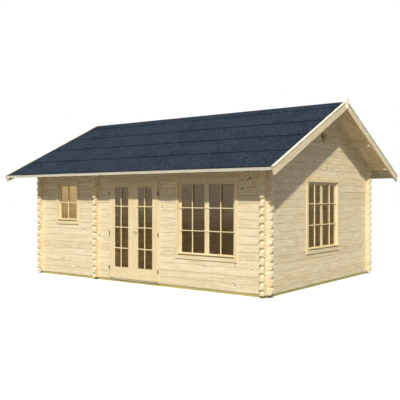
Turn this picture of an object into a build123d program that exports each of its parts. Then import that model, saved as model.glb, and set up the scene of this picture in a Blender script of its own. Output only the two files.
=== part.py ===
from build123d import *
import os
from math import atan, ceil, cos, floor, sin, sqrt

os.makedirs("parts", exist_ok=True)

# Millimetres. The long front faces -Y, the glazed gable faces +X and the ground is Z = 0.
# Walls
cabin_length = 5690.0        # outer faces of the two gable walls
cabin_depth = 4170.0         # outer faces of the front and back walls
log_height = 135.0
log_thickness = 70.0
log_groove = 6.0             # chamfer on the outer long edges, two of them make the V joint
log_end_length = 100.0       # how far a log runs past the wall that it crosses
end_clip_rise = 36.0         # clipped corners of a log end
end_clip_run = 36.0
wall_courses = 17            # logs in the front and back walls
runout_courses = 1           # top logs that run out to the bargeboards
partition_x = -1080.0        # middle of the cross wall
smallest_offcut = 2.0e5      # a wedge of log under this volume is not fitted

# Ground frame and floor
bearer_height = 45.0
bearer_width = 45.0
joist_spacing = 620.0
floor_thickness = 28.0
floor_gap = 5.0              # round the edge of each floor

# Roof
roof_slope = 0.4927          # rise over run
gable_overhang = 460.0       # gable wall to the outer face of the bargeboards
deck_eave = 2586.0           # middle of the cabin to the plumb cut of the roof boards
deck_thickness = 52.0
purlin_offset = 1155.0       # ridge to the middle of the two lower purlins
purlin_width = 70.0
purlin_depth = 95.0          # on the lower side of each purlin
barge_thickness = 28.0
barge_drop = 68.0            # below the underside of the roof boards, square to the slope
barge_tail = 22.0            # end of the roof boards to the lower tip of a bargeboard
cap_width = 46.0
cap_thickness = 12.0
cap_overhang = 9.0           # of the caps past the outer faces of the bargeboards
cap_overrun = -10.0          # past the upper corner of the bargeboard's end
apex_block_width = 50.0
apex_block_thickness = 22.0
apex_block_height = 35.0     # above the meeting edge of the caps
apex_block_foot = 10.0       # above the meeting point of the bargeboards' lower edges
fascia_thickness = 20.0
felt_thickness = 4.0
felt_lap_step = 5.0
felt_strips = 4              # on each slope, below the ridge strip
felt_edge_fold = 2.0         # felt folded up under the caps
felt_side_gap = 8.0          # side edge of the felt to the outer faces of the bargeboards
felt_drip = 8.0              # past the fascia board
ridge_felt_reach = 235.0     # of the ridge strip down each slope, level

# Windows: opening width and middle, sill course or height, sashes side by side
window_head_courses = 14
small_window_x = -1964.0
small_window_width = 618.0
small_window_sill_courses = 8
large_window_x = 1618.0
large_window_width = 1266.0
large_window_sill_courses = 4
gable_window_y = -45.0
gable_window_width = 1266.0
gable_window_sill_courses = 4.5
lining_thickness = 22.0
casing_overlap = 45.0        # of the casing on the logs above and below a window
casing_side_overlap = 35.0
casing_thickness = 20.0
casing_reveal = 2.0          # of the lining inside the casing
inside_casing_thickness = 12.0
sash_setback = 28.0          # outer face of the wall to the outer face of a sash
sash_thickness = 32.0
sash_member = 44.0
sash_gap = 2.0               # between two sashes
glass_thickness = 16.0
glass_setback = 6.0          # behind the outer face of its sash or leaf
weather_bar_height = 22.0
weather_bar_depth = 62.0
weather_bar_lift = 20.0      # above the lower edge of the sash

# Heart-shaped vent high in the glazed gable
vent_tip_z = 2655.0
vent_height = 150.0          # tip to the middles of the lobes
vent_lobe = 62.5

# Double door, opening outwards
door_x = -82.0
door_opening_width = 1246.0
door_head_courses = 14
door_casing_overlap = 28.0
door_head_overlap = 55.0
door_casing_thickness = 12.0
door_stop_depth = 24.0
door_stop_width = 20.0
threshold_height = 20.0
leaf_clearance = 6.0
leaf_thickness = 40.0
leaf_lip = 27.0              # how far the outer face laps past the body of the leaf
leaf_lip_thickness = 12.0
leaf_meeting_gap = 7.0
leaf_meeting_rebate = 4.0
leaf_bottom_gap = 8.0
leaf_outer_stile = 136.0
leaf_meeting_stile = 120.0
leaf_top_rail = 98.0
leaf_bottom_rail = 214.0

# Barrel hinges and the lever
hinge_heights = (222.0, 893.0, 1664.0)   # above the lowest log's underside
barrel_radius = 7.0
barrel_sides = 12            # many small knuckles, so each is drawn with flats
barrel_length = 37.0
barrel_gap = 0.4
barrel_offset = 8.0          # axis past the edge of the leaf and in front of its face
hinge_pin_radius = 3.0
lever_height = 955.0         # above the lowest log's underside
lever_edge_distance = 38.0   # from the meeting edge of the leaf
plate_width = 36.0
plate_above = 48.0           # above and below the lever's axis
plate_below = 72.0
plate_thickness = 6.0
lever_neck_radius = 8.0
lever_neck_length = 34.0
lever_length = 105.0
lever_width = 18.0
lever_corner = 8.0
lever_thickness = 11.0
lever_gap = 0.3

# Worked-out lines
half_length = cabin_length / 2
half_depth = cabin_depth / 2
log_base = bearer_height
notch = log_height / 4
inner_half_length = half_length - log_thickness
inner_half_depth = half_depth - log_thickness
slope_cos = cos(atan(roof_slope))
slope_sin = sin(atan(roof_slope))
wall_top = log_base + wall_courses * log_height
soffit_apex = wall_top + roof_slope * inner_half_depth
deck_rise = deck_thickness / slope_cos
roof_half_length = half_length + gable_overhang
deck_half_length = roof_half_length - barge_thickness
fascia_face = deck_eave + fascia_thickness
barge_tip = deck_eave + barge_tail
felt_eave = fascia_face + felt_drip
window_head = log_base + window_head_courses * log_height
door_head = log_base + door_head_courses * log_height


def soffit_z(y):
    return soffit_apex - roof_slope * abs(y)


def deck_top_z(y):
    return soffit_z(y) + deck_rise


def box(x0, x1, y0, y1, z0, z1):
    return Pos((x0 + x1) / 2, (y0 + y1) / 2, (z0 + z1) / 2) * Box(x1 - x0, y1 - y0, z1 - z0)


def face(points):
    return make_face(Polyline(*points, close=True))


def along_x(points, x0, x1):
    # points are (y, z)
    return extrude(Plane.YZ.offset(x0) * face(points), x1 - x0)


def along_y(points, y0, y1):
    # points are (x, z)
    return extrude(Plane.XZ.offset(-y1) * face(points), y1 - y0)


def solids_of(shape):
    if shape is None:
        return []
    if isinstance(shape, (list, tuple)):
        return [solid for item in shape for solid in solids_of(item)]
    return list(shape.solids())


def export(name, *shapes):
    pieces = solids_of(list(shapes))
    shape = pieces[0] if len(pieces) == 1 else Compound(children=pieces)
    export_step(shape, f"parts/{name}.step")


# Everything under the roof boards, to trim logs and purlins to the slope
under_roof = along_x([(-cabin_depth, log_base - log_height), (cabin_depth, log_base - log_height),
                      (cabin_depth, soffit_z(cabin_depth)), (0, soffit_apex),
                      (-cabin_depth, soffit_z(cabin_depth))], -2 * cabin_length, 2 * cabin_length)


def log_outline(start, end, bottom, top, crossings, bottom_notch, top_notch, clip_ends, clip_foot):
    # side view of a log: clipped ends and a notch, top and bottom, at each crossing wall
    run = end_clip_run if clip_ends else 0
    foot_run = run if clip_foot else 0
    points = [(start + foot_run, bottom)]
    if bottom_notch:
        for near, far in crossings:
            points += [(near, bottom), (near, bottom + notch), (far, bottom + notch), (far, bottom)]
    points.append((end - foot_run, bottom))
    if clip_ends:
        points += ([(end, bottom + end_clip_rise)] if clip_foot else []) + [(end, top - end_clip_rise)]
    points.append((end - run, top))
    if top_notch:
        for near, far in reversed(crossings):
            points += [(far, top), (far, top - notch), (near, top - notch), (near, top)]
    points.append((start + run, top))
    if clip_ends:
        points += [(start, top - end_clip_rise)] + ([(start, bottom + end_clip_rise)] if clip_foot else [])
    return points


def log_section(inner, outer, bottom, top, groove_foot, groove_top):
    # end view of a log, with its outer long edges chamfered
    inward = log_groove if inner > outer else -log_groove
    points = [(inner, bottom)]
    points += [(outer + inward, bottom), (outer, bottom + log_groove)] if groove_foot else [(outer, bottom)]
    points += [(outer, top - log_groove), (outer + inward, top)] if groove_top else [(outer, top)]
    return points + [(inner, top)]


def cut_away(log, cutters):
    pieces = [log]
    for cutter in cutters:
        reach = cutter.bounding_box()
        kept = []
        for piece in pieces:
            size = piece.bounding_box()
            apart = (size.min.Z >= reach.max.Z or size.max.Z <= reach.min.Z
                     or size.min.X >= reach.max.X or size.max.X <= reach.min.X
                     or size.min.Y >= reach.max.Y or size.max.Y <= reach.min.Y)
            kept += [piece] if apart else solids_of(piece - cutter)
        pieces = kept
    return [piece for piece in pieces if piece.volume > smallest_offcut]


def long_wall(side, crossings, openings):
    # side is -1 for the front and 1 for the back; returns the courses in order
    outer, inner = side * half_depth, side * inner_half_depth
    courses = []
    for course in range(wall_courses):
        bottom = log_base + course * log_height
        top = bottom + log_height
        last = course == wall_courses - 1
        runs_out = course >= wall_courses - runout_courses
        reach = deck_half_length if runs_out else half_length + log_end_length
        outline = log_outline(-reach, reach, bottom, top, crossings, True, not last, not runs_out, True)
        log = along_y(outline, min(inner, outer), max(inner, outer))
        section = log_section(inner, outer, bottom, top, True, not last)
        log = log & along_x(section, -reach, reach)
        if last:
            log = log & under_roof
        courses.append(cut_away(log, openings))
    return courses


def cross_wall(inner, outer, grooved, openings):
    # a gable or the partition: its logs lie half a log lower than those of the long walls
    crossings = [(-half_depth, -inner_half_depth), (inner_half_depth, half_depth)]
    courses = []
    course = 0
    while log_base + (course - 0.5) * log_height < soffit_apex:
        bottom = max(log_base, log_base + (course - 0.5) * log_height)
        top = log_base + (course + 0.5) * log_height
        whole = course < wall_courses
        reach = half_depth + log_end_length if whole else inner_half_depth
        outline = log_outline(-reach, reach, bottom, top, crossings if whole else [],
                              course > 0, True, whole, course > 0)
        log = along_x(outline, min(inner, outer), max(inner, outer))
        if grooved:
            section = log_section(inner, outer, bottom, top, course > 0, True)
            log = log & along_y(section, -reach, reach)
        if top > soffit_z(reach):
            log = log & under_roof
        courses.append(cut_away(log, openings))
        course += 1
    return courses


def export_courses(name, courses):
    export(f"{name}_odd_logs", courses[0::2])
    export(f"{name}_even_logs", courses[1::2])


# The ridge purlin sits on a joint of the gable logs; the tops of all purlins follow the roof
ridge_joints = floor((soffit_z(purlin_width / 2) - purlin_depth - log_base) / log_height + 0.5)
ridge_purlin_bottom = log_base + (ridge_joints - 0.5) * log_height
mid_purlin_bottom = soffit_z(purlin_offset + purlin_width / 2) - purlin_depth
purlin_boxes = [box(-deck_half_length, deck_half_length, y - purlin_width / 2, y + purlin_width / 2,
                    bottom, soffit_apex)
                for y, bottom in ((0, ridge_purlin_bottom), (-purlin_offset, mid_purlin_bottom),
                                  (purlin_offset, mid_purlin_bottom))]
export("purlins", [purlin & under_roof for purlin in purlin_boxes])

# Openings in the walls
small_sill = log_base + small_window_sill_courses * log_height
large_sill = log_base + large_window_sill_courses * log_height
gable_sill = log_base + gable_window_sill_courses * log_height
front_cut = (-half_depth - log_thickness, -inner_half_depth + log_thickness)
gable_cut = (inner_half_length - log_thickness, half_length + log_thickness)
small_opening = box(small_window_x - small_window_width / 2, small_window_x + small_window_width / 2,
                    *front_cut, small_sill, window_head)
large_opening = box(large_window_x - large_window_width / 2, large_window_x + large_window_width / 2,
                    *front_cut, large_sill, window_head)
door_opening = box(door_x - door_opening_width / 2, door_x + door_opening_width / 2,
                   *front_cut, log_base, door_head)
gable_opening = box(*gable_cut, gable_window_y - gable_window_width / 2,
                    gable_window_y + gable_window_width / 2, gable_sill, window_head)

# The vent: two round lobes and the straight sides that run from them to the tip
lobe_z = vent_tip_z + vent_height
tip_distance = sqrt(vent_lobe ** 2 + vent_height ** 2)
tangent_length = sqrt(tip_distance ** 2 - vent_lobe ** 2)
tip_angle = atan(vent_lobe / vent_height) + atan(vent_lobe / tangent_length)
side_y, side_z = tangent_length * sin(tip_angle), vent_tip_z + tangent_length * cos(tip_angle)
vent_sides = face([(0, vent_tip_z), (side_y, side_z), (vent_lobe, lobe_z), (0, lobe_z),
                   (-vent_lobe, lobe_z), (-side_y, side_z)])
vent_shapes = [vent_sides] + [Pos(y, lobe_z) * Circle(vent_lobe) for y in (-vent_lobe, vent_lobe)]
vent_cuts = [extrude(Plane.YZ.offset(gable_cut[0]) * shape, gable_cut[1] - gable_cut[0])
             for shape in vent_shapes]

# Walls
partition_faces = (partition_x - log_thickness / 2, partition_x + log_thickness / 2)
long_wall_crossings = [(-half_length, -inner_half_length), partition_faces,
                       (inner_half_length, half_length)]
export_courses("front_wall", long_wall(-1, long_wall_crossings,
                                       [small_opening, large_opening, door_opening]))
export_courses("back_wall", long_wall(1, long_wall_crossings, []))
export_courses("left_gable", cross_wall(-inner_half_length, -half_length, True, purlin_boxes))
export_courses("right_gable", cross_wall(inner_half_length, half_length, True,
                                         purlin_boxes + [gable_opening] + vent_cuts))
export_courses("partition", cross_wall(*partition_faces, False, purlin_boxes))

# Bearers on the ground and the floors on them
wall_middle_y = half_depth - log_thickness / 2
wall_middle_x = half_length - log_thickness / 2
export("long_bearers", [box(-half_length, half_length, y - bearer_width / 2, y + bearer_width / 2,
                            0, bearer_height) for y in (-wall_middle_y, wall_middle_y)])
bearer_reach = wall_middle_y - bearer_width / 2
cross_lines = [-wall_middle_x, partition_x, wall_middle_x]
joist_lines = []
for near, far in zip(cross_lines, cross_lines[1:]):
    bays = ceil((far - near) / joist_spacing)
    joist_lines += [near + (far - near) * step / bays for step in range(1, bays)]
export("cross_bearers", [box(x - bearer_width / 2, x + bearer_width / 2, -bearer_reach, bearer_reach,
                             0, bearer_height) for x in cross_lines + joist_lines])
floor_reach = inner_half_depth - floor_gap
rooms = [(-inner_half_length, partition_faces[0]), (partition_faces[1], inner_half_length)]
export("floor_boards", [box(near + floor_gap, far - floor_gap, -floor_reach, floor_reach,
                            bearer_height, bearer_height + floor_thickness) for near, far in rooms])


# Roof, each slope by itself; side is -1 for the front
def slope_points(side, near, far, low, high):
    # a band of the slope between two heights above the roof boards' underside, plumb ends
    return [(side * near, soffit_z(near) + low), (side * far, soffit_z(far) + low),
            (side * far, soffit_z(far) + high), (side * near, soffit_z(near) + high)]


def barge_points(side, low, high, tip):
    # a band with a plumb cut at the ridge and a square cut at the eave, tip on its lower edge
    rise = (high - low) * slope_cos
    return [(0, soffit_apex + low), (side * tip, soffit_z(tip) + low),
            (side * (tip + rise * slope_sin), soffit_z(tip) + low + rise * slope_cos),
            (0, soffit_apex + high)]


felt_rise = (felt_thickness + felt_lap_step) / slope_cos
felt_strip = (felt_eave - ridge_felt_reach) / felt_strips
felt_lines = [0] + [ridge_felt_reach + felt_strip * count for count in range(1, felt_strips + 1)]


def felt_top(y, strip_start, strip_end):
    share = (y - strip_start) / (strip_end - strip_start)
    return deck_top_z(y) + (felt_thickness + felt_lap_step * share) / slope_cos


cap_low = deck_rise + felt_rise + felt_edge_fold / slope_cos
cap_high = cap_low + cap_thickness / slope_cos
cap_tip = barge_tip + cap_overrun + (barge_drop + deck_thickness) * slope_sin
cap_half_length = roof_half_length + cap_overhang
cap_inner = cap_half_length - cap_width
felt_half_length = roof_half_length - felt_side_gap

# A board on the meeting ends of the bargeboards, which the caps are cut round
block_ends = ((-roof_half_length - apex_block_thickness, -roof_half_length),
              (roof_half_length, roof_half_length + apex_block_thickness))
apex_blocks = [box(*ends, -apex_block_width / 2, apex_block_width / 2,
                   soffit_apex - barge_drop / slope_cos + apex_block_foot,
                   soffit_apex + cap_high + apex_block_height) for ends in block_ends]
export("apex_blocks", apex_blocks)
for side, name in ((-1, "front"), (1, "back")):
    export(f"{name}_roof_boards", along_x(slope_points(side, 0, deck_eave, 0, deck_rise),
                                          -deck_half_length, deck_half_length))
    felt = [(0, deck_top_z(0)), (side * felt_eave, deck_top_z(felt_eave))]
    for near, far in reversed(list(zip(felt_lines, felt_lines[1:]))):
        felt += [(side * far, felt_top(far, near, far)), (side * near, felt_top(near, near, far))]
    export(f"{name}_roof_felt", along_x(felt, -felt_half_length, felt_half_length))
    barge = barge_points(side, -barge_drop / slope_cos, deck_rise, barge_tip)
    export(f"{name}_bargeboards", [along_x(barge, x, x + barge_thickness)
                                   for x in (-roof_half_length, deck_half_length)])
    fold = barge_points(side, deck_rise + felt_rise, cap_low, cap_tip)
    export(f"{name}_felt_edges", [along_x(fold, *sorted((end * cap_inner, end * felt_half_length)))
                                  for end in (-1, 1)])
    cap = barge_points(side, cap_low, cap_high, cap_tip)
    export(f"{name}_barge_caps", [along_x(cap, *sorted((end * cap_inner, end * cap_half_length))) - block
                                  for end, block in zip((-1, 1), apex_blocks)])

fascia_foot = soffit_z(fascia_face)
export("fascia_boards", [along_x([(side * deck_eave, fascia_foot), (side * fascia_face, fascia_foot),
                                  (side * fascia_face, deck_top_z(fascia_face)),
                                  (side * deck_eave, deck_top_z(deck_eave))],
                                 -deck_half_length, deck_half_length) for side in (-1, 1)])
ridge_felt = []
for side in (1, -1):
    top = felt_top(ridge_felt_reach, felt_lines[0], felt_lines[1])
    ridge_felt.append([(side * ridge_felt_reach, top), (side * ridge_felt_reach, top + felt_thickness)])
apex_felt = felt_top(0, felt_lines[0], felt_lines[1])
export("ridge_felt", along_x([(0, apex_felt), ridge_felt[0][0], ridge_felt[0][1],
                              (0, apex_felt + felt_thickness), ridge_felt[1][1], ridge_felt[1][0]],
                             -cap_inner, cap_inner))


# Windows are drawn as if in the front wall, then turned for the gable
def ring(x0, x1, y0, y1, z0, z1, member):
    hole = box(x0 + member, x1 - member, y0 - 1, y1 + 1, z0 + member, z1 - member)
    return box(x0, x1, y0, y1, z0, z1) - hole


def window_pieces(width, sill, head, sashes):
    # middle of the opening at x = 0, outer face of the wall at y = 0 and the room at +y
    half = width / 2
    pieces = {"frame": [ring(-half, half, 0, log_thickness, sill, head, lining_thickness)]}
    side, inward = half + casing_side_overlap, lining_thickness - casing_reveal
    for kind, y0, y1 in (("casing", -casing_thickness, 0),
                         ("inside", log_thickness, log_thickness + inside_casing_thickness)):
        hole = box(inward - half, half - inward, y0 - 1, y1 + 1, sill + inward, head - inward)
        pieces[kind] = [box(-side, side, y0, y1, sill - casing_overlap, head + casing_overlap) - hole]
    inside = half - lining_thickness
    pane_width = (2 * inside - sash_gap * (sashes - 1)) / sashes
    pieces["sash"], pieces["glass"] = [], []
    low, high = sill + lining_thickness, head - lining_thickness
    for count in range(sashes):
        x0 = -inside + count * (pane_width + sash_gap)
        pieces["sash"].append(ring(x0, x0 + pane_width, sash_setback, sash_setback + sash_thickness,
                                   low, high, sash_member))
        pieces["glass"].append(box(x0 + sash_member, x0 + pane_width - sash_member,
                                   sash_setback + glass_setback,
                                   sash_setback + glass_setback + glass_thickness,
                                   low + sash_member, high - sash_member))
    bar_foot = low + weather_bar_lift
    pieces["bar"] = [box(-inside, inside, sash_setback - weather_bar_depth, sash_setback,
                         bar_foot, bar_foot + weather_bar_height)]
    return pieces


window_places = [
    (Pos(small_window_x, -half_depth, 0), window_pieces(small_window_width, small_sill, window_head, 1)),
    (Pos(large_window_x, -half_depth, 0), window_pieces(large_window_width, large_sill, window_head, 2)),
    (Pos(half_length, gable_window_y, 0) * Rot(0, 0, 90),
     window_pieces(gable_window_width, gable_sill, window_head, 2)),
]
placed = {kind: [place * piece for place, pieces in window_places for piece in pieces[kind]]
          for kind in ("frame", "casing", "inside", "sash", "glass", "bar")}

# Door frame, casing and threshold
door_half = door_opening_width / 2
door_inside = door_half - lining_thickness
door_face = -half_depth
casing_face = door_face - door_casing_thickness
leaf_face = casing_face - leaf_clearance - leaf_lip_thickness
leaf_back = leaf_face + leaf_thickness
stop_face = leaf_back + leaf_clearance
lining_top = door_head - lining_thickness


def portal(half_out, half_in, y0, y1, top_out, top_in):
    # a door-shaped frame standing on the bearers
    points = [(door_x - half_out, log_base), (door_x - half_in, log_base), (door_x - half_in, top_in),
              (door_x + half_in, top_in), (door_x + half_in, log_base), (door_x + half_out, log_base),
              (door_x + half_out, top_out), (door_x - half_out, top_out)]
    return along_y(points, y0, y1)


stop = portal(door_inside, door_inside - door_stop_width, stop_face, stop_face + door_stop_depth,
              lining_top, lining_top - door_stop_width)
export("door_frame", portal(door_half, door_inside, door_face, -inner_half_depth,
                            door_head, lining_top) + stop)
export("door_casing", portal(door_half + door_casing_overlap, door_inside, casing_face, door_face,
                             door_head + door_head_overlap, lining_top))
door_inside_casing = portal(door_half + casing_overlap, door_inside + casing_reveal, -inner_half_depth,
                            -inner_half_depth + inside_casing_thickness,
                            door_head + casing_overlap, lining_top + casing_reveal)
door_inside_casing -= box(-cabin_length, cabin_length, -cabin_depth, cabin_depth,
                          0, bearer_height + floor_thickness)
threshold_half = door_inside - door_stop_width
export("door_threshold", box(door_x - threshold_half, door_x + threshold_half, casing_face,
                             -inner_half_depth, log_base, log_base + threshold_height))
export("window_frames", placed["frame"])
export("window_casings", placed["casing"])
export("inside_casings", placed["inside"], door_inside_casing)
export("window_sashes", placed["sash"])
export("window_glass", placed["glass"])
export("window_weather_bars", placed["bar"])

# Door leaves: a body inside the frame and a lip that laps over the casing
body_half = door_inside - leaf_clearance
lip_half = body_half + leaf_lip
body_top = lining_top - leaf_clearance
lip_top = body_top + leaf_lip
leaf_foot = log_base + threshold_height + leaf_bottom_gap
barrel_x = lip_half + barrel_offset
barrel_y = leaf_face - barrel_offset
near_lip = leaf_meeting_gap / 2
glass_near, glass_far = near_lip + leaf_meeting_stile, lip_half - leaf_outer_stile
glass_foot, glass_top = leaf_foot + leaf_bottom_rail, lip_top - leaf_top_rail


def mirrored_box(side, near, far, y0, y1, z0, z1):
    ends = sorted((door_x + side * near, door_x + side * far))
    return box(*ends, y0, y1, z0, z1)


def barrel(side, z0, z1, arm_y, arm_reach):
    # a hinge knuckle with the pin that is driven into the wood behind it
    middle = (z0 + z1) / 2
    outline = Pos(door_x + side * barrel_x, barrel_y, z0) * RegularPolygon(barrel_radius, barrel_sides)
    knuckle = extrude(outline, z1 - z0)
    arm = mirrored_box(side, barrel_x - arm_reach, barrel_x + hinge_pin_radius, barrel_y, arm_y,
                       middle - hinge_pin_radius, middle + hinge_pin_radius)
    return knuckle + arm


frame_barrels = []
for side, name in ((-1, "left"), (1, "right")):
    lip = mirrored_box(side, near_lip, lip_half, leaf_face, leaf_face + leaf_lip_thickness,
                       leaf_foot, lip_top)
    body = mirrored_box(side, near_lip + leaf_meeting_rebate, body_half,
                        leaf_face + leaf_lip_thickness, leaf_back, leaf_foot, body_top)
    hole = mirrored_box(side, glass_near, glass_far, leaf_face - 1, leaf_back + 1, glass_foot, glass_top)
    export(f"{name}_door_leaf", lip + body - hole)
    export(f"{name}_door_glass", mirrored_box(side, glass_near, glass_far, leaf_face + glass_setback,
                                              leaf_face + glass_setback + glass_thickness,
                                              glass_foot, glass_top))
    leaf_barrels = []
    for height in hinge_heights:
        middle = log_base + height
        leaf_barrels.append(barrel(side, middle + barrel_gap / 2, middle + barrel_gap / 2 + barrel_length,
                                   leaf_face, barrel_offset + barrel_length / 2))
        frame_barrels.append(barrel(side, middle - barrel_gap / 2 - barrel_length, middle - barrel_gap / 2,
                                    casing_face, hinge_pin_radius))
    export(f"{name}_leaf_barrels", leaf_barrels)
export("frame_barrels", frame_barrels)

# Lock plate and lever on the right leaf
lever_x = door_x + near_lip + lever_edge_distance
lever_z = log_base + lever_height
plate_face = leaf_face - plate_thickness
export("lock_plate", box(lever_x - plate_width / 2, lever_x + plate_width / 2, plate_face, leaf_face,
                         lever_z - plate_below, lever_z + plate_above))
neck_start = plate_face - lever_gap
neck = Pos(lever_x, neck_start - lever_neck_length / 2, lever_z) * Rot(90, 0, 0) * \
    Cylinder(lever_neck_radius, lever_neck_length)
grip = box(lever_x - lever_width / 2, lever_x + lever_length, neck_start - lever_neck_length,
           neck_start - lever_neck_length + lever_thickness,
           lever_z - lever_width / 2, lever_z + lever_width / 2)
grip = fillet(grip.edges().filter_by(Axis.Y), lever_corner)
export("door_lever", neck + grip)
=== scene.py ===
import bpy
import bmesh
from math import atan, cos, pi, radians, sin
from mathutils import Matrix, Vector


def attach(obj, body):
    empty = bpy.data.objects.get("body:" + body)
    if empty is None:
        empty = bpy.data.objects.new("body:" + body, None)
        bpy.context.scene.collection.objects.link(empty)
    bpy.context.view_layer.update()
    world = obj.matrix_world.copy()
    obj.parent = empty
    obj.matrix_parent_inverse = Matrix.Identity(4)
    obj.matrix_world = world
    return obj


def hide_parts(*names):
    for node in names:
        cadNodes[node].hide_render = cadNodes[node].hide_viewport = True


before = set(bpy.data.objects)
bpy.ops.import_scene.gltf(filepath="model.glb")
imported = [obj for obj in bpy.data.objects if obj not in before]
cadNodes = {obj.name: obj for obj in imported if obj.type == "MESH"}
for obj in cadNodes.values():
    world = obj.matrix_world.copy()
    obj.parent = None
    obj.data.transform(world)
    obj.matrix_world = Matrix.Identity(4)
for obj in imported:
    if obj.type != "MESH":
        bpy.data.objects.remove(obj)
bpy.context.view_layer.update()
print("frame loaded:", len(cadNodes), "nodes")
bpy.context.scene.view_settings.view_transform = "Standard"


# ---- small helpers: colours and nodes
def tint(red, green, blue):
    # 0-255 screen colour to the linear colour that nodes take
    return tuple(((c / 255 + 0.055) / 1.055) ** 2.4 if c > 10 else c / 3295 for c in (red, green, blue)) + (1.0,)


def newObject(name, data):
    made = bpy.data.objects.new(name, data)
    bpy.context.scene.collection.objects.link(made)
    return made


def setSocket(tree, socket, value):
    if isinstance(value, bpy.types.NodeSocket):
        tree.links.new(value, socket)
    else:
        socket.default_value = value


def addNode(tree, kind, inputs=None, **settings):
    node = tree.nodes.new(kind)
    for name, value in settings.items():
        setattr(node, name, value)
    for key, value in (inputs or {}).items():
        setSocket(tree, node.inputs[key], value)
    return node


def mathOf(tree, operation, *values, clamp=False):
    node = addNode(tree, "ShaderNodeMath", operation=operation, use_clamp=clamp)
    for count, value in enumerate(values):
        setSocket(tree, node.inputs[count], value)
    return node.outputs[0]


def timesOf(tree, first, second):
    return mathOf(tree, "MULTIPLY", first, second)


def vectorOf(tree, operation, *values):
    node = addNode(tree, "ShaderNodeVectorMath", operation=operation)
    for count, value in enumerate(values):
        setSocket(tree, node.inputs[count], value)
    return node.outputs[0]


def rangeOf(tree, value, fromLow, fromHigh, toLow=0.0, toHigh=1.0, smooth=True):
    node = addNode(tree, "ShaderNodeMapRange", interpolation_type="SMOOTHSTEP" if smooth else "LINEAR")
    for count, item in enumerate((value, fromLow, fromHigh, toLow, toHigh)):
        setSocket(tree, node.inputs[count], item)
    return node.outputs[0]


def mixOf(tree, factor, first, second, blend="MIX"):
    node = addNode(tree, "ShaderNodeMix", data_type="RGBA", blend_type=blend)
    for key, value in ((0, factor), (6, first), (7, second)):
        setSocket(tree, node.inputs[key], value)
    return node.outputs[2]


def noiseOf(tree, vector, scale, detail=2.0, roughness=0.5):
    return addNode(tree, "ShaderNodeTexNoise", {"Vector": vector, "Scale": scale, "Detail": detail,
                                                "Roughness": roughness}).outputs[0]


def startGroup(name, inputs, outputs):
    tree = bpy.data.node_groups.new(name, "ShaderNodeTree")
    for socketName, kind, value in inputs:
        socket = tree.interface.new_socket(socketName, in_out="INPUT", socket_type=kind)
        if value is not None:
            socket.default_value = value
    for socketName, kind in outputs:
        tree.interface.new_socket(socketName, in_out="OUTPUT", socket_type=kind)
    entry = tree.nodes.new("NodeGroupInput").outputs
    return tree, entry, tree.nodes.new("NodeGroupOutput").inputs


def placeGroup(tree, group, inputs):
    node = addNode(tree, "ShaderNodeGroup", node_tree=group)
    for key, value in inputs.items():
        setSocket(tree, node.inputs[key], value)
    return node.outputs


# ---- effects shared by several materials
vectorKind, floatKind, colorKind = "NodeSocketVector", "NodeSocketFloat", "NodeSocketColor"
white, black = (1.0, 1.0, 1.0, 1.0), (0.0, 0.0, 0.0, 1.0)


grainSettings = {"drift": (7.0, 0.0, 0.9), "knotStretch": 0.62, "knotLean": 0.83, "knotCells": 3.6, "darkShare": 0.45,
                 "knotSmall": 0.030, "knotLarge": 0.062, "bendReach": 0.30, "bend": 0.022, "run": 0.035,
                 "figureScale": 21.0, "fineScale": 210.0, "broadScale": 32.0, "broadRun": 2.2, "figureShare": 0.30,
                 "fineShare": 0.26, "broadShare": 0.40, "whorlOuter": 0.26, "whorlInner": 0.10, "arcs": 50.0,
                 "wander": 0.42}


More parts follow.
